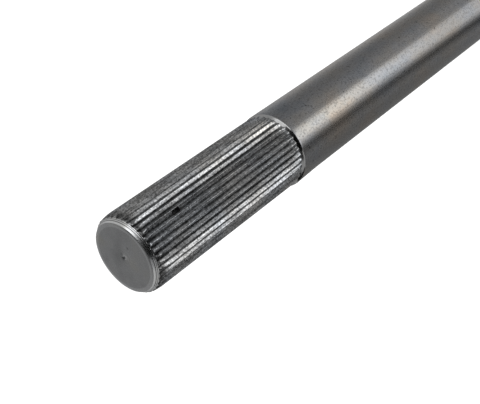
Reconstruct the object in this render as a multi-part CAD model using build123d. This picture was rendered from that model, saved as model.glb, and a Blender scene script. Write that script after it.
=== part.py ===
import math
import os
from build123d import *

# Splined shaft: a solid steel bar with fine, slightly helical teeth at one end.
# It stands on its plain end, with the axis on +Z and the teeth at the top.
# The index pit lies in a tooth gap and faces +X. All sizes are in millimetres.

# Bar
overall_length = 214.0
shank_diameter = 25.2
foot_chamfer = 0.8

# Shoulder between the plain shank and the splined end
splined_length = 66.75
shoulder_step = 0.2175
shoulder_angle = 45.0
lip_height = 0.27
lip_length = 10.5

# Teeth, with a left-hand helix
tooth_count = 38
addendum_per_module = 0.5
dedendum_per_module = 0.5
pressure_angle = 45.0
helix_angle = 0.8
root_fillet = 0.115
crest_break_depth = 0.085
crest_break_angle = 22.5

# Where the hob leaves the grooves, measured back from the shoulder's edge
tooth_setback = 1.1
runout_length = 3.2
hob_radius = 24.0

# Free end of the teeth
face_ease_width = 0.86
face_ease_drop = 0.115
chamfer_width = 1.1
chamfer_angle = 35.0
tip_relief_depth = 0.34
tip_relief_length = 3.8

# Turning marks in the middle of the splined face
recess_diameter = 6.1
recess_floor_diameter = 3.8
recess_depth = 0.115
dimple_diameter = 1.3
dimple_angle = 118.0

# Index pit in one tooth gap, a little off the gap's middle
pit_from_face = 14.93
pit_length = 3.14
pit_width = 1.43
pit_depth = 1.8
pit_off_centre = 0.18

# Radii and heights that follow from the sizes above
shank_radius = shank_diameter / 2
crest_radius = shank_radius - shoulder_step
module = 2 * crest_radius / (tooth_count + 2 * addendum_per_module)
addendum = addendum_per_module * module
dedendum = dedendum_per_module * module
pitch_radius = module * tooth_count / 2
root_radius = pitch_radius - dedendum
lip_radius = shank_radius + lip_height
chamfer_radius = crest_radius - tip_relief_depth
edge_radius = chamfer_radius - chamfer_width
face_radius = edge_radius - face_ease_width
chamfer_length = chamfer_width / math.tan(math.radians(chamfer_angle))
face_height = overall_length
shoulder_height = face_height - splined_length
tooth_end_height = shoulder_height + tooth_setback
runout_height = tooth_end_height + runout_length
pit_height = face_height - pit_from_face


def involute_half_angle(radius, base_radius):
    """Angle from the pitch point to an involute flank's point at a radius."""
    roll = math.sqrt((radius / base_radius) ** 2 - 1)
    pitch_roll = math.sqrt((pitch_radius / base_radius) ** 2 - 1)
    return (roll - math.atan(roll)) - (pitch_roll - math.atan(pitch_roll))


def gap_point(radius, side):
    """Point of a tooth gap's flank, in a plane whose Y is the radius."""
    base_radius = pitch_radius * math.cos(math.radians(pressure_angle))
    half_gap = math.pi / (2 * tooth_count) + involute_half_angle(radius, base_radius)
    return (side * radius * math.sin(half_gap), radius * math.cos(half_gap))


def gap_section():
    """Section of one tooth gap: flat root, fillets, involute flanks and broken crest edges."""
    break_radius = crest_radius - crest_break_depth
    middle = (root_radius + break_radius) / 2
    rise = crest_break_depth + addendum
    run = rise / math.tan(math.radians(crest_break_angle))
    with BuildSketch() as section:
        with BuildLine():
            root = Line(gap_point(root_radius, -1), gap_point(root_radius, 1))
            right = ThreePointArc(root @ 1, gap_point(middle, 1), gap_point(break_radius, 1))
            right_break = Line(right @ 1, (right @ 1) + Vector(run, rise))
            left_top = gap_point(break_radius, -1)
            mouth = Line(right_break @ 1, (left_top[0] - run, left_top[1] + rise))
            left_break = Line(mouth @ 1, left_top)
            ThreePointArc(left_break @ 1, gap_point(middle, -1), root @ 0)
        make_face()
        fillet(section.vertices().sort_by(Axis.Y)[0:2], root_fillet)
    return section.sketch


def gap_turn(height):
    """Turn of the pit's gap about the axis at a height, in degrees."""
    twist = math.degrees(math.tan(math.radians(helix_angle)) / pitch_radius)
    off_centre = math.degrees(math.asin(pit_off_centre / crest_radius))
    return twist * (pit_height - height) - off_centre


def gap_cutter():
    """Path of the hob through one gap: along the helix, then out along its own arc."""
    facing_x = Rot(0, 0, -90) * gap_section()
    top_height = face_height + addendum
    top = Pos(0, 0, top_height) * Rot(0, 0, gap_turn(top_height)) * facing_x
    start = Pos(0, 0, runout_height) * facing_x
    bottom = Rot(0, 0, gap_turn(runout_height)) * start
    along = loft([bottom, top], ruled=True)
    hob_axis = Axis((root_radius + hob_radius, 0, runout_height), (0, 1, 0))
    sweep_angle = 2 * math.degrees(math.asin(runout_length / hob_radius))
    runout = revolve(start, hob_axis, revolution_arc=-sweep_angle)
    return along + Rot(0, 0, gap_turn(runout_height)) * runout


def tooth_blank():
    """Turned splined end before the teeth are cut."""
    edge_height = face_height - face_ease_drop
    chamfer_height = edge_height - chamfer_length
    with BuildPart() as blank:
        with BuildSketch(Plane.XZ):
            with BuildLine():
                face = Line((0, face_height), (face_radius, face_height))
                ease = TangentArc(face @ 1, (edge_radius, edge_height), tangent=(1, 0))
                chamfer = Line(ease @ 1, (chamfer_radius, chamfer_height))
                relief_start = (crest_radius, chamfer_height - tip_relief_length)
                relief = TangentArc(relief_start, chamfer @ 1, tangent=(0, 1))
                side = Line(relief @ 0, (crest_radius, tooth_end_height))
                bottom = Line(side @ 1, (0, tooth_end_height))
                Line(bottom @ 1, face @ 0)
            make_face()
        revolve(axis=Axis.Z)
    return blank.part


def shank():
    """Plain bar with its raised lip and the relief's cone between lip and teeth."""
    core_rise = tooth_setback + addendum
    core_radius = lip_radius - core_rise * math.tan(math.radians(shoulder_angle))
    with BuildPart() as bar:
        with BuildSketch(Plane.XZ):
            with BuildLine():
                foot = Line((0, 0), (shank_radius - foot_chamfer, 0))
                edge = Line(foot @ 1, (shank_radius, foot_chamfer))
                side = Line(edge @ 1, (shank_radius, shoulder_height - lip_length))
                lip = TangentArc(side @ 1, (lip_radius, shoulder_height), tangent=(0, 1))
                cone = Line(lip @ 1, (core_radius, shoulder_height + core_rise))
                nose = Line(cone @ 1, (0, shoulder_height + core_rise))
                Line(nose @ 1, foot @ 0)
            make_face()
        revolve(axis=Axis.Z)
    return bar.part


def centre_mark():
    """Shallow recess and small dimple that turning left in the face."""
    floor = face_height - recess_depth
    dimple_radius = dimple_diameter / 2
    point = dimple_radius / math.tan(math.radians(dimple_angle / 2))
    with BuildPart() as mark:
        with BuildSketch(Plane.XZ):
            with BuildLine():
                Polyline(
                    (0, floor - point),
                    (dimple_radius, floor),
                    (recess_floor_diameter / 2, floor),
                    (recess_diameter / 2, face_height),
                    (0, face_height),
                    close=True,
                )
            make_face()
        revolve(axis=Axis.Z)
    return mark.part


def index_pit():
    """Round-ended pit milled into the teeth on the side that faces +X."""
    floor = crest_radius - pit_depth
    plane = Plane(origin=(floor, 0, pit_height), x_dir=(0, 0, 1), z_dir=(1, 0, 0))
    return extrude(plane * SlotOverall(pit_length, pit_width), amount=2 * pit_depth)


def splined_shaft():
    """Whole shaft as one solid."""
    cutters = PolarLocations(0, tooth_count) * gap_cutter()
    teeth = tooth_blank().cut(*cutters)
    return shank() + teeth - centre_mark() - index_pit()


os.makedirs("parts", exist_ok=True)
shaft = splined_shaft()
export_step(shaft, "parts/splined_shaft.step")
print("solids", len(shaft.solids()), "volume", round(shaft.volume, 1))
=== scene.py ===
import math
import bmesh
import bpy
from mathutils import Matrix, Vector


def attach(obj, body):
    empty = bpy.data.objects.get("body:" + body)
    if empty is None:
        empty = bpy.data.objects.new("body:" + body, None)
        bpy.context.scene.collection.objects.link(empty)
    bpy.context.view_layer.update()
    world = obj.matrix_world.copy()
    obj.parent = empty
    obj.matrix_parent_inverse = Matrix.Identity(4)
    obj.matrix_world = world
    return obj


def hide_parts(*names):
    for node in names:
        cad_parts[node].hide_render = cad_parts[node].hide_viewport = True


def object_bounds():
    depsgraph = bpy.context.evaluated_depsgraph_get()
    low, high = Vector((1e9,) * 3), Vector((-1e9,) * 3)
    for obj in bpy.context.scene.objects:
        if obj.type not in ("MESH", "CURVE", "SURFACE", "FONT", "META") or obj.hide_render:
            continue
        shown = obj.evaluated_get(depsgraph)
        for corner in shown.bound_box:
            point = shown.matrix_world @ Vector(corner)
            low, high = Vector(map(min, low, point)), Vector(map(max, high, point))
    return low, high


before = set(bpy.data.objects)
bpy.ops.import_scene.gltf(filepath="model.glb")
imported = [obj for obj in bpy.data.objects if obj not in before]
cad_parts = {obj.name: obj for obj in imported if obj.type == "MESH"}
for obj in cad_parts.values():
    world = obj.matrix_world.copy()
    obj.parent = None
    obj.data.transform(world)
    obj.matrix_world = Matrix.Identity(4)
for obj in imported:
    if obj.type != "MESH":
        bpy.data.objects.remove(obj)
cadLow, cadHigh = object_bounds()
mm = 0.001
print("frame loaded:", sorted(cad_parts))


def deselectAll():
    if bpy.context.object and bpy.context.object.mode != "OBJECT":
        bpy.ops.object.mode_set(mode="OBJECT")
    bpy.ops.object.select_all(action="DESELECT")


def makeActive(piece):
    deselectAll()
    piece.select_set(True)
    bpy.context.view_layer.objects.active = piece


def applyAll(piece):
    makeActive(piece)
    bpy.ops.object.transform_apply(location=True, rotation=True, scale=True)


# The turned and hobbed sizes, in millimetres. Lengths run down from the splined face.
shaftSizes = {
    "length": (cadHigh.z - cadLow.z) / mm,
    "shankRadius": 12.6,
    "crestRadius": 12.3825,
    "rootRadius": 11.7475,
    "toothCount": 38,
    "turnPerMm": 0.0663,  # degrees, left-hand
    "pitDown": 14.93,
    "turnAtPit": -0.833,  # degrees from the pit to its gap's middle
    "flankSlope": 38.5,  # degrees, worn
    "crestRounding": 0.1,
    "rootHalfWidth": 0.06,
    "filletHeight": 0.07,
    "filletWidth": 0.09,
    "filletLift": 0.02,  # of the fillet's middle above the root
    "filletLimit": 0.04,  # least width left between fillet and root
    "faceRadius": 10.0825,
    "flatRings": (6.0, 9.0),
    "easeWidth": 0.86,
    "easeDrop": 0.115,
    "chamferRadius": 12.0425,
    "chamferAngle": 35.0,
    "chamferRings": (0.215, 0.48, 1.2),
    "reliefLength": 3.8,
    "turnedLines": (0.72, 1.05),
    "turnedLineWidth": 0.12,
    "turnedLineDepth": 0.015,
    "shoulder": 66.75,
    "toothSetback": 1.1,
    "runoutLength": 3.2,
    "hobRadius": 24.0,
    "lipHigh": 0.265,
    "lipLow": 0.0,
    "lipTurn": -108.0,  # bearing of the lip's highest place, in degrees
    "lipLength": 10.5,
    "lipFade": 1.2,
    "lipCorner": (-0.04, 0.05),  # rings just before and after its edge
    "footChamfer": 0.8,
    "footRings": (9.0, 4.0),
    "recessRadius": 3.05,
    "recessFloorRadius": 1.9,
    "recessDepth": 0.115,
    "recessLipDrop": 0.02,
    "dimpleRadius": 0.65,
    "dimpleDepth": 0.39,
    "dimpleLipDrop": 0.06,
    "tipRadius": 0.04,  # of the tiny ring that closes each end
    "mergeDistance": 0.002,
}


# Half a gap from its middle to the middle of the crest, as (angle, radius) pairs:
# a narrow root, its fillet, a straight flank and a worn, rounded crest.
def gapProfile(s):
    crest = s["crestRadius"]
    depth = crest - s["rootRadius"]
    reach = math.pi / s["toothCount"] * crest
    slope, bend = math.radians(s["flankSlope"]), s["crestRounding"]
    across = [(0.0, 0.0)]
    for share in (0.25, 0.5, 0.75, 1):
        across.append((bend * math.sin(slope * share), bend * (1 - math.cos(slope * share))))
    top, drop = across[-1]
    low = top + (depth - s["filletHeight"] - drop) / math.tan(slope)
    for share in (0.5, 1):
        x = top + (low - top) * share
        across.append((x, drop + (x - top) * math.tan(slope)))
    rootEdge = reach - s["rootHalfWidth"]
    filletPlace = min(low + s["filletWidth"], rootEdge - s["filletLimit"])
    across += [(filletPlace, depth - s["filletLift"]), (rootEdge, depth), (reach, depth)]
    return [((reach - x) / crest, crest - fall) for x, fall in reversed(across)]


# Radius of the chamfer's inner edge, how fast it widens, and how far down it ends.
def chamferShape(s):
    edgeRadius = s["faceRadius"] + s["easeWidth"]
    slope = math.tan(math.radians(s["chamferAngle"]))
    return edgeRadius, slope, s["easeDrop"] + (s["chamferRadius"] - edgeRadius) / slope


# Radius of the turned splined end at a distance below the face.
def turnedRadius(down, s):
    edgeRadius, slope, chamferEnd = chamferShape(s)
    if down < chamferEnd:
        radius = edgeRadius + (down - s["easeDrop"]) * slope
        for line in s["turnedLines"]:
            away = abs(down - line) / (s["turnedLineWidth"] / 2)
            radius -= s["turnedLineDepth"] * max(0.0, 1 - away)
        return radius
    left = chamferEnd + s["reliefLength"] - down
    if left <= 0:
        return s["crestRadius"]
    drop = s["crestRadius"] - s["chamferRadius"]
    arc = (s["reliefLength"] ** 2 + drop ** 2) / (2 * drop)
    return s["crestRadius"] - (arc - math.sqrt(arc ** 2 - left ** 2))


# How far the hob has lifted out of the groove at a distance below the face.
def hobRise(down, s):
    past = down - (s["shoulder"] - s["toothSetback"] - s["runoutLength"])
    if past <= 0:
        return 0.0
    return s["hobRadius"] - math.sqrt(s["hobRadius"] ** 2 - past ** 2)


# Radius of the shoulder's cone, its uneven lip, the plain shank and the foot's chamfer.
def shankRadiusAt(down, turn, s):
    below = down - s["shoulder"]
    if below < s["lipLength"]:
        high = 0.5 + 0.5 * math.cos(turn - math.radians(s["lipTurn"]))
        lip = s["lipLow"] + (s["lipHigh"] - s["lipLow"]) * high
        if below < 0:
            return s["shankRadius"] + lip + below
        return s["shankRadius"] + lip * (1 - below / s["lipLength"]) ** s["lipFade"]
    fromFoot = s["length"] - down
    return s["shankRadius"] - max(0.0, s["footChamfer"] - fromFoot)


# Distances after a start, spread evenly, or crowded towards it where crowding is over 1.
def spread(start, length, count, crowding=1.0):
    return [start + length * (step / count) ** crowding for step in range(1, count + 1)]


# Rings of the dimple, the recess, the flat and the soft edge, as (distance down, radius).
def faceRings(s):
    floor, dimple, recess = s["recessDepth"], s["dimpleRadius"], s["recessRadius"]
    rings = [(floor + s["dimpleDepth"], s["tipRadius"])]
    rings += [(floor + s["dimpleLipDrop"], dimple * 0.92), (floor, dimple * 1.15)]
    rings += [(floor, s["recessFloorRadius"])]
    rings += [(s["recessLipDrop"], recess * 0.96), (0.0, recess * 1.06)]
    rings += [(0.0, radius) for radius in s["flatRings"]]
    arc = (s["easeWidth"] ** 2 + s["easeDrop"] ** 2) / (2 * s["easeDrop"])
    for step in range(6):
        out = s["easeWidth"] * step / 6
        rings.append((arc - math.sqrt(arc ** 2 - out ** 2), s["faceRadius"] + out))
    return rings


# Rings of the chamfer and the teeth, closest together where the form changes.
def toothRings(s):
    edgeRadius, slope, chamferEnd = chamferShape(s)
    grooveStart = s["easeDrop"] + (s["rootRadius"] - edgeRadius) / slope
    reliefEnd = chamferEnd + s["reliefLength"]
    runoutStart = s["shoulder"] - s["toothSetback"] - s["runoutLength"]
    downs = [s["easeDrop"], *s["chamferRings"], grooveStart]
    for line in s["turnedLines"]:
        half = s["turnedLineWidth"] / 2
        downs += [line - half, line, line + half]
    downs += spread(grooveStart, chamferEnd - grooveStart, 5)
    downs += spread(chamferEnd, s["reliefLength"], 16, 1.3)
    downs += spread(reliefEnd, runoutStart - reliefEnd, 14)
    downs += spread(runoutStart, s["runoutLength"], 14)
    return [(down, "teeth") for down in sorted(downs)]


# Rings of the cone behind the teeth, its lip, the plain shank and the foot.
def barRings(s):
    toothEnd = s["shoulder"] - s["toothSetback"]
    lipEnd = s["shoulder"] + s["lipLength"]
    footStart = s["length"] - s["footChamfer"]
    downs = spread(toothEnd, s["toothSetback"], 4)[:3]
    downs += [s["shoulder"] + away for away in s["lipCorner"]]
    downs += spread(s["shoulder"], s["lipLength"], 12, 1.2)
    downs += spread(lipEnd, footStart - lipEnd, 12)
    rings = [(toothEnd, "cone")] + [(down, "bar") for down in downs] + [(s["length"], "bar")]
    return rings + [(s["length"], radius) for radius in (*s["footRings"], s["tipRadius"])]


# Radius of one point of a ring, by the ring's own radius or by what it belongs to.
def ringRadius(down, turn, rule, gapRadius, s):
    if not isinstance(rule, str):
        return rule
    bar = shankRadiusAt(down, turn, s)
    if rule == "bar":
        return bar
    lifted = min(gapRadius + hobRise(down, s), s["crestRadius"])
    tooth = min(lifted, turnedRadius(down, s))
    return min(tooth, bar) if rule == "cone" else tooth


# Turn of the gaps at a distance below the face, which makes the left-hand helix.
def gapTurn(down, s):
    reach = min(down, s["shoulder"])
    return math.radians(s["turnPerMm"] * (reach - s["pitDown"]) + s["turnAtPit"])


# Where a point of the first, even ring belongs on the tooth profile, as (turn, radius).
def shareOut(turn, profile, s):
    steps = 2 * (len(profile) - 1)
    pitch = 2 * math.pi / s["toothCount"]
    tooth, place = divmod(round(turn / pitch * steps), steps)
    angle, radius = profile[min(place, steps - place)]
    if place <= steps // 2:
        return tooth * pitch + angle, radius
    return (tooth + 1) * pitch - angle, radius


# Radius of the tooth profile at the turn of a point that lies on it.
def profileRadius(turn, profile, s):
    pitch = 2 * math.pi / s["toothCount"]
    inPitch = abs((turn + pitch / 2) % pitch - pitch / 2)
    return min(profile, key=lambda place: abs(place[0] - inPitch))[1]


# Grows the shaft ring by ring from a circle, each ring moved to the form it has there.
def shapeShaft(s):
    profile = gapProfile(s)
    pointCount = 2 * (len(profile) - 1) * s["toothCount"]
    bpy.ops.mesh.primitive_circle_add(vertices=pointCount, radius=s["crestRadius"] * mm)
    shaft = bpy.context.object
    shaft.name = "steelShaft"
    top = s["length"] * mm + cadLow.z
    twist = 0.0
    bpy.ops.object.mode_set(mode="EDIT")
    bpy.ops.mesh.select_all(action="SELECT")
    for number, (down, rule) in enumerate(faceRings(s) + toothRings(s) + barRings(s)):
        if number:
            bpy.ops.mesh.extrude_edges_move()
        mesh = bmesh.from_edit_mesh(shaft.data)
        newTwist = gapTurn(down, s)
        for point in [point for point in mesh.verts if point.select]:
            turn = (math.atan2(point.co.y, point.co.x) - twist) % (2 * math.pi)
            if number:
                radius = profileRadius(turn, profile, s)
            else:
                turn, radius = shareOut(turn, profile, s)
            turn += newTwist
            reach = ringRadius(down, turn, rule, radius, s) * mm
            point.co = Vector((reach * math.cos(turn), reach * math.sin(turn), top - down * mm))
        twist = newTwist
        bmesh.update_edit_mesh(shaft.data)
    closeEnds(s)
    bpy.ops.object.mode_set(mode="OBJECT")
    return shaft


# Merges doubles, fills the tiny hole at each end and turns the faces outwards.
def closeEnds(s):
    bpy.ops.mesh.select_all(action="SELECT")
    bpy.ops.mesh.remove_doubles(threshold=s["mergeDistance"] * mm)
    bpy.ops.mesh.select_all(action="DESELECT")
    bpy.ops.mesh.select_non_manifold()
    bpy.ops.mesh.edge_face_add()
    bpy.ops.mesh.select_all(action="SELECT")
    bpy.ops.mesh.normals_make_consistent(inside=False)


deselectAll()
shaft = shapeShaft(shaftSizes)
print("shaft grown:", len(shaft.data.polygons), "faces")


# The index pit in the gap that faces +X, in millimetres. Its black is painted shade.
pitSizes = {"length": 3.14, "width": 1.43, "depth": 1.8, "rounding": 0.49}

# Places of the finishes among the shaft's material slots.
finishSlots = {"teeth": 0, "face": 1, "shank": 2, "pit": 3, "cone": 4}


# Cuts the round-ended pit with a bevelled block, which is twice as deep as the pit.
def cutPit(shaft, p, s):
    blockHeight = 2 * p["depth"]
    middle = (s["crestRadius"] - p["depth"] + blockHeight / 2) * mm
    height = (s["length"] - s["pitDown"]) * mm + cadLow.z
    bpy.ops.mesh.primitive_cube_add(size=1, location=(middle, 0, height))
    cutter = bpy.context.object
    cutter.scale = (blockHeight * mm, p["width"] * mm, p["length"] * mm)
    applyAll(cutter)
    bpy.ops.object.mode_set(mode="EDIT")
    mesh = bmesh.from_edit_mesh(cutter.data)
    for edge in mesh.edges:
        edge.select = abs(edge.verts[0].co.x - edge.verts[1].co.x) > p["depth"] * mm
    bmesh.update_edit_mesh(cutter.data)
    bpy.ops.mesh.bevel(offset=p["width"] * mm * p["rounding"], segments=8)
    bpy.ops.mesh.select_all(action="SELECT")
    bpy.ops.mesh.normals_make_consistent(inside=False)
    bpy.ops.object.mode_set(mode="OBJECT")
    for material in shaft.data.materials:
        cutter.data.materials.append(material)
    for face in cutter.data.polygons:
        face.material_index = finishSlots["pit"]
    makeActive(shaft)
    cut = shaft.modifiers.new("pit", "BOOLEAN")
    cut.object = cutter
    cut.operation = "DIFFERENCE"
    cut.solver = "EXACT"
    bpy.ops.object.modifier_apply(modifier=cut.name)
    bpy.data.objects.remove(cutter)


def newMaterial(name):
    material = bpy.data.materials.new(name)
    material.use_nodes = True
    nodes, links = material.node_tree.nodes, material.node_tree.links
    shader = nodes["Principled BSDF"]
    shader.inputs["Metallic"].default_value = 1.0
    return material, nodes, links, shader


def addNode(nodes, kind, **settings):
    node = nodes.new(kind)
    for key, value in settings.items():
        if key in node.inputs:
            node.inputs[key].default_value = value
        else:
            setattr(node, key, value)
    return node


# Colour ramp from (place, grey or colour) stops, fed by an output.
def addRamp(nodes, links, source, stops):
    ramp = nodes.new("ShaderNodeValToRGB")
    elements = ramp.color_ramp.elements
    for number, (place, value) in enumerate(stops):
        stop = elements[number] if number < 2 else elements.new(place)
        stop.position = place
        stop.color = (value, value, value, 1) if isinstance(value, float) else (*value, 1)
    links.new(source, ramp.inputs[0])
    return ramp.outputs[0]


# Noise in the object's own coordinates, squeezed along each axis by stretch.
def addNoise(nodes, links, place, scale, detail, stretch=(1, 1, 1), roughness=0.5):
    squeezed = addVectorMath(nodes, links, "MULTIPLY", place, stretch).outputs[0]
    noise = addNode(nodes, "ShaderNodeTexNoise", Scale=scale, Detail=detail, Roughness=roughness)
    links.new(squeezed, noise.inputs["Vector"])
    return noise.outputs["Fac"]


# A value carried from one range to another and held within it.
def addRange(nodes, links, source, fromMin, fromMax, toMin=0.0, toMax=1.0):
    ends = {"From Min": fromMin, "From Max": fromMax, "To Min": toMin, "To Max": toMax}
    carried = addNode(nodes, "ShaderNodeMapRange", **ends)
    links.new(source, carried.inputs["Value"])
    return carried.outputs[0]


# A sum whose values are plain numbers or outputs of other nodes.
def addMath(nodes, links, operation, *values):
    node = addNode(nodes, "ShaderNodeMath", operation=operation)
    for socket, value in zip(node.inputs, values):
        if isinstance(value, float):
            socket.default_value = value
        else:
            links.new(value, socket)
    return node.outputs[0]


def addVectorMath(nodes, links, operation, source, fixed=(0, 0, 0)):
    node = addNode(nodes, "ShaderNodeVectorMath", operation=operation)
    node.inputs[1].default_value = fixed
    links.new(source, node.inputs[0])
    return node


def multiply(nodes, links, layers):
    colour = layers[0]
    for layer in layers[1:]:
        mixed = addNode(nodes, "ShaderNodeMix", data_type="RGBA", blend_type="MULTIPLY")
        mixed.inputs["Factor"].default_value = 1.0
        links.new(colour, mixed.inputs["A"])
        links.new(layer, mixed.inputs["B"])
        colour = mixed.outputs["Result"]
    return colour


# Bumps one after another: (height output, strength, distance in metres).
def addBumps(nodes, links, shader, bumps):
    last = None
    for height, strength, distance in bumps:
        bump = addNode(nodes, "ShaderNodeBump", Strength=strength, Distance=distance)
        links.new(height, bump.inputs["Height"])
        if last:
            links.new(last, bump.inputs["Normal"])
        last = bump.outputs[0]
    links.new(last, shader.inputs["Normal"])


# Place across the shaft and its distance from the axis.
def addReach(nodes, links, place):
    flat = addVectorMath(nodes, links, "MULTIPLY", place, (1, 1, 0)).outputs[0]
    return flat, addVectorMath(nodes, links, "LENGTH", flat).outputs["Value"]


# Finish of the teeth. Ramps are (place, grey or colour) stops.
toothFinish = {
    "paintedGrooveShade": [(0.0, 0.04), (0.08, 0.11), (0.2, 0.37), (0.4, 0.55), (0.9, 0.53)],  # painted shade in the gaps, from root to crest
    "grooveRoughness": [(0.1, 0.5), (0.3, 0.26)],
    "raggedness": 0.34,
    # the side that faces the camera, whose gaps get the most painted shade
    "shadedSide": (0.982, -0.191, 0),
    "shadeLiftTurn": (0.89, 0.74),  # cosines of the turn from that side at which the lift of the painted shade starts and is full
    "shadeLift": 0.17,
    "tints": [(0.35, (0.91, 0.95, 1.0)), (0.62, (1.0, 0.995, 0.98))],
    "streaks": [(0.36, 0.48), (0.58, 1.0)],
    "speckle": [(0.34, 0.28), (0.58, 1.0)],
    "feedMarks": [(0.1, 0.8), (0.8, 1.0)],
    "chips": [(0.42, 0.08), (0.6, 0.7)],
    "chipped": (6.2, 2.2),  # millimetres below the face at which chipping starts and is full
    "chippedShare": 0.9,
}


# Height in the groove, from 0 at the root to 1 at the crest, with ragged edges.
def addGrooveLevel(nodes, links, place, reach, finish, s):
    height = addRange(nodes, links, reach, s["rootRadius"] * mm, s["crestRadius"] * mm)
    noise = addNoise(nodes, links, place, scale=900.0, detail=4.0)
    ragged = finish["raggedness"]
    shift = addMath(nodes, links, "MULTIPLY_ADD", noise, ragged, -ragged / 2)
    return addMath(nodes, links, "ADD", height, shift)


# How much the painted shade in the gaps is lifted, by the turn from the side that faces the camera.
def addSideShadeLift(nodes, links, flat, finish):
    outward = addVectorMath(nodes, links, "NORMALIZE", flat).outputs[0]
    towards = addVectorMath(nodes, links, "DOT_PRODUCT", outward, finish["shadedSide"]).outputs["Value"]
    return addRange(nodes, links, towards, *finish["shadeLiftTurn"], toMax=finish["shadeLift"])


# Dark chips that come in over the last millimetres of the tooth tips.
def addChips(nodes, links, place, finish):
    height = addNode(nodes, "ShaderNodeSeparateXYZ")
    links.new(place, height.inputs[0])
    start, full = [cadHigh.z - down * mm for down in finish["chipped"]]
    share = addRange(nodes, links, height.outputs[2], start, full, toMax=finish["chippedShare"])
    noise = addNoise(nodes, links, place, scale=1100.0, detail=4.0, stretch=(1, 1, 0.5), roughness=0.7)
    worn = addNode(nodes, "ShaderNodeMix", data_type="RGBA")
    worn.inputs["A"].default_value = (1, 1, 1, 1)
    links.new(share, worn.inputs["Factor"])
    links.new(addRamp(nodes, links, noise, finish["chips"]), worn.inputs["B"])
    return worn.outputs["Result"]


# Feed marks that the hob left across the teeth.
def addFeedMarks(nodes, links, place):
    marks = addNode(
        nodes, "ShaderNodeTexWave", wave_type="BANDS", bands_direction="Z",
        Scale=193.0, Distortion=4.0, Detail=3.0)
    marks.inputs["Detail Scale"].default_value = 3.0
    links.new(place, marks.inputs["Vector"])
    return marks.outputs["Fac"]


# Hobbed steel with dull crests. Painted shade darkens the gaps towards the root, heaviest on the side that
# faces the camera.
def toothMaterial(finish, s):
    material, nodes, links, shader = newMaterial("hobbedSteel")
    place = nodes.new("ShaderNodeTexCoord").outputs["Object"]
    flat, reach = addReach(nodes, links, place)
    level = addGrooveLevel(nodes, links, place, reach, finish, s)
    shadedLevel = addMath(nodes, links, "ADD", level, addSideShadeLift(nodes, links, flat, finish))
    broad = addNoise(nodes, links, place, scale=70.0, detail=4.0)
    streaks = addNoise(nodes, links, place, scale=1500.0, detail=3.0, stretch=(1, 1, 0.1))
    speckle = addNoise(nodes, links, place, scale=2300.0, detail=3.0, stretch=(1, 1, 0.7), roughness=0.7)
    marks = addFeedMarks(nodes, links, place)
    # The first ramp paints shade into the gaps, darkest at the root and on the side that faces the camera.
    ramps = [
        (shadedLevel, "paintedGrooveShade"), (broad, "tints"), (streaks, "streaks"), (speckle, "speckle"), (marks, "feedMarks")]
    layers = [addRamp(nodes, links, source, finish[name]) for source, name in ramps]
    layers.append(addChips(nodes, links, place, finish))
    links.new(multiply(nodes, links, layers), shader.inputs["Base Color"])
    rough = addRamp(nodes, links, level, finish["grooveRoughness"])
    links.new(rough, shader.inputs["Roughness"])
    addBumps(nodes, links, shader, [(marks, 0.6, 0.00003), (streaks, 0.4, 0.00002), (speckle, 0.5, 0.00002)])
    return material


# Finish of the turned face and of the cone behind the teeth, with lengths in millimetres. The cone's darker
# colour is painted shade.
turnedFinish = {
    "face": {"colour": (0.375, 0.38, 0.386), "roughness": 0.25},
    # a darker copy of the turned finish: painted shade for the dark band behind the teeth
    "cone": {"colour": (0.21, 0.21, 0.21), "roughness": 0.16},
    "stains": [(0.32, (0.86, 0.86, 0.86)), (0.5, (1.0, 1.0, 1.0)), (0.7, (1.02, 1.0, 0.94))],
    # shade from the axis to the shank's radius: dimple, face, brighter edge and two turned lines, whose dark
    # is painted shade in their grooves
    "shades": [
        (0.0, 1.0), (0.045, 0.9), (0.08, 0.74), (0.76, 0.74), (0.785, 0.98), (0.891, 1.0), (0.898, 0.22),
        (0.902, 0.22), (0.909, 1.0), (0.914, 1.0), (0.92, 0.22), (0.924, 0.22), (0.931, 1.0),
    ],
    "swirlPlace": (0.3, 1.25),
    "swirlReach": 4.0,
    "swirl": [
        (0.0, 0.66), (0.1, 0.74), (0.24, 0.96), (0.32, 0.86), (0.42, 1.0), (0.52, 0.9), (0.62, 1.0),
        (0.74, 0.94), (0.86, 1.0),
    ],
    "dotPlace": (4.56, 0.74),
    "dotReach": 0.6,
    "dot": [(0.4, 0.6), (0.9, 1.0)],
}


# Ramp by the distance from a place on the face, within a reach.
def addSpot(nodes, links, flat, place, reach, stops):
    centre = (place[0] * mm, place[1] * mm, 0)
    away = addVectorMath(nodes, links, "DISTANCE", flat, centre).outputs["Value"]
    return addRamp(nodes, links, addRange(nodes, links, away, 0.0, reach * mm), stops)


# Turned steel with fine rings round the axis.
def turnedMaterial(name, colour, roughness, finish, s):
    material, nodes, links, shader = newMaterial(name)
    place = nodes.new("ShaderNodeTexCoord").outputs["Object"]
    flat, reach = addReach(nodes, links, place)
    rings = addNode(
        nodes, "ShaderNodeTexWave", wave_type="RINGS", rings_direction="Z",
        Scale=620.0, Distortion=0.8, Detail=2.0)
    links.new(flat, rings.inputs["Vector"])
    stain = addNoise(nodes, links, place, scale=150.0, detail=5.0)
    stained = []
    for stop, tint in finish["stains"]:
        stained.append((stop, [part * share for part, share in zip(colour, tint)]))
    across = addRange(nodes, links, reach, 0.0, s["shankRadius"] * mm)
    layers = [
        addRamp(nodes, links, stain, stained),
        addRamp(nodes, links, across, finish["shades"]),
        addSpot(nodes, links, flat, finish["swirlPlace"], finish["swirlReach"], finish["swirl"]),
        addSpot(nodes, links, flat, finish["dotPlace"], finish["dotReach"], finish["dot"]),
    ]
    links.new(multiply(nodes, links, layers), shader.inputs["Base Color"])
    shader.inputs["Roughness"].default_value = roughness
    grain = addNoise(nodes, links, place, scale=2500.0, detail=2.0)
    addBumps(nodes, links, shader, [(rings.outputs["Fac"], 0.35, 0.00001), (grain, 0.3, 0.00001)])
    return material


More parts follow.
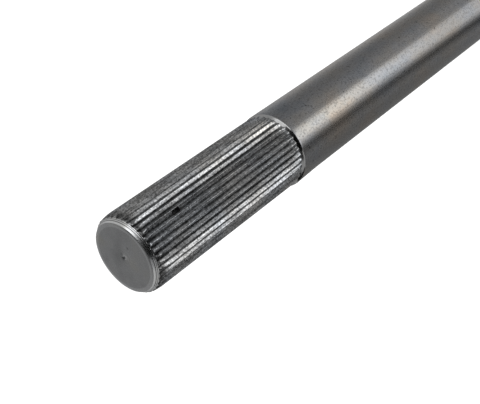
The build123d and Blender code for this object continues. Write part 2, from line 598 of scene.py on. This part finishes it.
# Finish of the plain shank: blue-grey, grey and brown patches, specks and fine pits.
shankFinish = {
    "patches": [
        (0.3, (0.185, 0.202, 0.225)), (0.43, (0.232, 0.237, 0.247)),
        (0.54, (0.242, 0.237, 0.231)), (0.68, (0.268, 0.24, 0.214)),
    ],
    "specks": [(0.3, 0.62), (0.5, 1.0)],
    "pits": [(0.24, 0.35), (0.31, 1.0)],
    "roughness": [(0.3, 0.32), (0.7, 0.21)],
}


def shankMaterial(finish):
    material, nodes, links, shader = newMaterial("dullShankSteel")
    place = nodes.new("ShaderNodeTexCoord").outputs["Object"]
    broad = addNoise(nodes, links, place, scale=75.0, detail=6.0, stretch=(1, 1, 0.6), roughness=0.6)
    fine = addNoise(nodes, links, place, scale=1500.0, detail=3.0)
    pits = addNoise(nodes, links, place, scale=850.0, detail=2.0, roughness=0.4)
    ramps = [(broad, "patches"), (fine, "specks"), (pits, "pits")]
    layers = [addRamp(nodes, links, source, finish[name]) for source, name in ramps]
    links.new(multiply(nodes, links, layers), shader.inputs["Base Color"])
    links.new(addRamp(nodes, links, fine, finish["roughness"]), shader.inputs["Roughness"])
    addBumps(nodes, links, shader, [(fine, 0.5, 0.00002)])
    return material


# Near-black, dull walls and floor: painted shade inside the pit.
def pitMaterial():
    material, nodes, links, shader = newMaterial("pitPaintedShade")
    shader.inputs["Metallic"].default_value = 0.0
    shader.inputs["Base Color"].default_value = (0.006, 0.006, 0.007, 1)
    shader.inputs["Roughness"].default_value = 0.8
    return material


# Where the turned finish gives way to the teeth: below this line and outside this radius.
finishBorders = {"chamferDown": 1.33, "faceRadius": 11.4, "coneMargin": 0.01}


# Gives the teeth, the turned faces, the shank and the pit their own finish.
def dressShaft(shaft, borders, s):
    face, cone = turnedFinish["face"], turnedFinish["cone"]
    materials = {
        "teeth": toothMaterial(toothFinish, s),
        "face": turnedMaterial("turnedFace", face["colour"], face["roughness"], turnedFinish, s),
        "shank": shankMaterial(shankFinish),
        "pit": pitMaterial(),
        # the cone's darker colour is painted shade
        "cone": turnedMaterial("turnedConeShaded", cone["colour"], cone["roughness"], turnedFinish, s),
    }
    for name in sorted(finishSlots, key=finishSlots.get):
        shaft.data.materials.append(materials[name])
    top = s["length"] * mm + cadLow.z
    coneStart = s["shoulder"] - s["toothSetback"] - borders["coneMargin"]
    for side in shaft.data.polygons:
        down = (top - side.center.z) / mm
        radius = math.hypot(side.center.x, side.center.y) / mm
        if down < borders["chamferDown"] or radius < borders["faceRadius"]:
            side.material_index = finishSlots["face"]
        elif coneStart < down < s["shoulder"]:
            side.material_index = finishSlots["cone"]
        elif down > s["shoulder"]:
            side.material_index = finishSlots["shank"]


dressShaft(shaft, finishBorders, shaftSizes)
cutPit(shaft, pitSizes, shaftSizes)
makeActive(shaft)
bpy.ops.object.shade_smooth_by_angle(angle=math.radians(32))
soften = shaft.modifiers.new("evenNormals", "WEIGHTED_NORMAL")
soften.keep_sharp = True
bpy.ops.object.modifier_apply(modifier=soften.name)
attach(shaft, "root")
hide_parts("splined_shaft")
print("shaft finished:", len(shaft.data.polygons), "faces")


# Studio: bearings are round the shaft from +X in degrees, lengths in metres.
studio = {
    "floorSize": 6.0,
    "floorGrey": 0.86,
    "floorLift": 0.5,
    "worldSoft": 0.75,  # the white world's strength where it only lights
    "discGlow": 3.3,
    "discSides": 96,
    "discLift": 0.0003,
    "capReach": (0.05, 0.17),  # near the foot the discs are held down to capLow
    "capLow": 0.48,
    # rings of graded floor light, with levels as (bearing, level) pairs
    "discs": {
        "shankDisc": {"inner": 0.0, "outer": 0.168, "warmth": 0.06, "levels": [
            (-176, 0.35), (-164, 0.26), (-152, 0.24), (-140, 0.25), (-128, 0.26), (-116, 0.28),
            (-104, 0.30), (-92, 0.34), (-80, 0.42), (-70, 0.32), (-62, 0.17), (-54, 0.05), (-47, 0.30),
            (-40, 0.95), (-32, 1.6), (-26, 3.25), (-1, 3.25), (3, 0.9), (10, 0.60), (28, 0.656),
            (40, 0.512), (52, 0.425), (64, 0.382), (76, 0.354), (88, 0.395), (100, 0.454), (112, 0.56),
            (124, 0.637), (136, 0.55), (148, 0.37), (160, 0.30),
        ]},
        "toothDisc": {"inner": 0.168, "outer": 0.9, "warmth": 0.0, "levels": [
            (-176, 0.42), (-164, 0.36), (-153, 0.24), (-142, 0.12), (-128, 0.50), (-116, 0.40),
            (-104, 0.34), (-92, 0.36), (-82, 0.44), (-75, 0.42), (-67, 0.14), (-60, 0.05), (-53, 0.14),
            (-47, 0.42), (-41, 0.95), (-36, 2.0), (-31, 2.8), (-15, 2.7), (-7, 1.3), (-1, 0.6),
            (14, 0.50), (28, 0.48), (40, 0.45), (52, 0.42), (64, 0.40), (76, 0.38), (88, 0.40),
            (100, 0.43), (112, 0.46), (124, 0.45), (148, 0.43), (160, 0.42),
        ]},
    },
    # cards in the air, as (bearings, elevations, distance, level)
    "cards": {
        "lowFlag": ((-56, 8), (10, 38), 0.7, 0.01),
        "highFlag": ((-118, 26), (31, 68), 0.7, 0.01),
        "sideFlag": ((-88, -70), (28, 31), 0.7, 0.01),
        "coneFlag": ((-138, -98), (-22, 0), 0.2, 0.01),
        "faceCard": ((110, 230), (12, 48), 0.8, 0.46),
        "topFlag": ((0, 360), (48, 90), 0.75, 0.12),
        "shoulderCard": ((24, 68), (30, 48), 0.85, 2.6),
    },
    "softbox": {
        "bearing": 33, "elevation": 33, "distance": 0.95, "width": 0.76, "height": 0.42, "watts": 2.6,
    },
}


def onlyInReflections(piece):
    piece.visible_camera = False
    piece.visible_diffuse = False
    piece.visible_shadow = False
    piece.visible_transmission = False


def glowMaterial(name, glow):
    material = bpy.data.materials.new(name)
    material.use_nodes = True
    shader = material.node_tree.nodes["Principled BSDF"]
    shader.inputs["Base Color"].default_value = (0, 0, 0, 1)
    shader.inputs["Roughness"].default_value = 1.0
    shader.inputs["Specular IOR Level"].default_value = 0.0
    shader.inputs["Emission Color"].default_value = (1, 1, 1, 1)
    shader.inputs["Emission Strength"].default_value = glow
    return material


# Deletes the faces of a piece whose middle doesn't pass the test.
def keepFaces(piece, keep):
    bpy.ops.object.mode_set(mode="EDIT")
    mesh = bmesh.from_edit_mesh(piece.data)
    for face in mesh.faces:
        face.select = not keep(face.calc_center_median())
    bmesh.update_edit_mesh(piece.data)
    bpy.ops.mesh.delete(type="FACE")
    bpy.ops.object.mode_set(mode="OBJECT")


# Opens the middle of a disc, so that it is a ring.
def openDisc(disc, values, sides):
    bpy.ops.object.mode_set(mode="EDIT")
    bpy.ops.mesh.select_all(action="SELECT")
    width = (values["outer"] - values["inner"]) * math.cos(math.pi / sides)
    bpy.ops.mesh.inset(thickness=width, depth=0)
    bpy.ops.mesh.delete(type="FACE")
    bpy.ops.object.mode_set(mode="OBJECT")


# Light that changes with the bearing, warmer where it is stronger, and is held down near the foot.
def gradedGlow(name, values, studio):
    fullGlow = studio["discGlow"]
    material = glowMaterial(name, fullGlow)
    nodes, links = material.node_tree.nodes, material.node_tree.links
    place = nodes.new("ShaderNodeTexCoord").outputs["Object"]
    sweep = addNode(nodes, "ShaderNodeTexGradient", gradient_type="RADIAL")
    links.new(place, sweep.inputs[0])
    stops = []
    for bearing, level in values["levels"]:
        part, warm = level / fullGlow, values["warmth"] * level
        stops.append(((bearing + 180) / 360, (part, part * (1 - warm / 2), part * (1 - warm))))
    glow = addRamp(nodes, links, sweep.outputs["Fac"], stops)
    flat, reach = addReach(nodes, links, place)
    cap = addRange(nodes, links, reach, *studio["capReach"], toMin=studio["capLow"])
    dimmed = addNode(nodes, "ShaderNodeMix", data_type="RGBA", blend_type="DARKEN")
    dimmed.inputs["Factor"].default_value = 1.0
    links.new(glow, dimmed.inputs["A"])
    links.new(cap, dimmed.inputs["B"])
    links.new(dimmed.outputs["Result"], nodes["Principled BSDF"].inputs["Emission Color"])
    return material


# Lays a ring of graded light round the foot, for the shank or the teeth to reflect.
def layDisc(name, values, studio):
    deselectAll()
    sides = studio["discSides"]
    bpy.ops.mesh.primitive_circle_add(vertices=sides, radius=values["outer"], fill_type="NGON")
    disc = bpy.context.object
    disc.name = name
    disc.location.z = cadLow.z + studio["discLift"]
    applyAll(disc)
    if values["inner"]:
        openDisc(disc, values, sides)
    disc.data.materials.append(gradedGlow(name, values, studio))
    onlyInReflections(disc)


# Hangs a card round the shaft's head, as part of a sphere.
def hangCard(name, bearings, elevations, distance, level):
    deselectAll()
    bpy.ops.mesh.primitive_uv_sphere_add(segments=180, ring_count=90, radius=distance)
    card = bpy.context.object
    card.name = name
    card.location.z = cadHigh.z
    applyAll(card)

    def inside(point):
        rise = math.degrees(math.asin(max(-1, min(1, (point.z - cadHigh.z) / distance))))
        bearing = math.degrees(math.atan2(point.y, point.x))
        start, stop = bearings
        return elevations[0] < rise < elevations[1] and 0 < (bearing - start) % 360 < stop - start

    keepFaces(card, inside)
    card.data.materials.append(glowMaterial(name, level))
    onlyInReflections(card)


def hangSoftbox(box):
    turn, rise = math.radians(box["bearing"]), math.radians(box["elevation"])
    flat = box["distance"] * math.cos(rise)
    height = cadHigh.z + box["distance"] * math.sin(rise)
    place = Vector((flat * math.cos(turn), flat * math.sin(turn), height))
    bpy.ops.object.light_add(type="AREA", location=place)
    lamp = bpy.context.object
    lamp.name = "softbox"
    lamp.data.shape = "RECTANGLE"
    lamp.data.size = box["width"]
    lamp.data.size_y = box["height"]
    lamp.data.energy = box["watts"]
    lamp.rotation_euler = (Vector((0, 0, cadHigh.z)) - place).to_track_quat("-Z", "Y").to_euler()
    lamp.visible_camera = False


# A pale floor that the camera sees as white, with the shaft's shadow on it.
def layFloor(values):
    bpy.ops.mesh.primitive_plane_add(size=values["floorSize"], location=(0, 0, cadLow.z - 0.0002))
    floor = bpy.context.object
    floor.name = "floor"
    applyAll(floor)
    material = bpy.data.materials.new("paleFloor")
    material.use_nodes = True
    nodes, links = material.node_tree.nodes, material.node_tree.links
    shader = nodes["Principled BSDF"]
    shader.inputs["Base Color"].default_value = (*[values["floorGrey"]] * 3, 1)
    shader.inputs["Roughness"].default_value = 0.9
    shader.inputs["Specular IOR Level"].default_value = 0.0
    shader.inputs["Emission Color"].default_value = (1, 1, 1, 1)
    path = nodes.new("ShaderNodeLightPath")
    lift = addMath(nodes, links, "MULTIPLY", path.outputs["Is Camera Ray"], values["floorLift"])
    links.new(lift, shader.inputs["Emission Strength"])
    floor.data.materials.append(material)


# White wherever the camera or a reflection looks past the floor, softer as a light.
def lightWorld(values):
    world = bpy.data.worlds.new("studioWorld")
    bpy.context.scene.world = world
    world.use_nodes = True
    nodes, links = world.node_tree.nodes, world.node_tree.links
    path = nodes.new("ShaderNodeLightPath").outputs
    seen = addMath(nodes, links, "MAXIMUM", path["Is Camera Ray"], path["Is Glossy Ray"])
    every = addMath(nodes, links, "MAXIMUM", seen, path["Is Transmission Ray"])
    strength = addRange(nodes, links, every, 0.0, 1.0, toMin=values["worldSoft"])
    back = nodes["Background"]
    back.inputs["Color"].default_value = (1, 1, 1, 1)
    links.new(strength, back.inputs["Strength"])


layFloor(studio)
for discName, discValues in studio["discs"].items():
    layDisc(discName, discValues, studio)
for cardName, card in studio["cards"].items():
    hangCard(cardName, *card)
hangSoftbox(studio["softbox"])
lightWorld(studio)
print("studio lit")


# The camera looks down on the splined end and is rolled, as the photograph was taken.
cameraView = {
    "place": (0.21466, -0.038245, 0.342547),
    "turn": (-37.25888, 38.79513, -58.83704),
    "lens": 69.2,
}


def placeCamera(values):
    bpy.ops.object.camera_add(location=values["place"])
    camera = bpy.context.object
    camera.rotation_euler = [math.radians(angle) for angle in values["turn"]]
    camera.data.lens = values["lens"]
    camera.data.sensor_width = 36.0
    camera.data.clip_start = 0.01
    bpy.context.scene.camera = camera
    bpy.context.scene.view_settings.view_transform = "Standard"


placeCamera(cameraView)
print("camera placed")
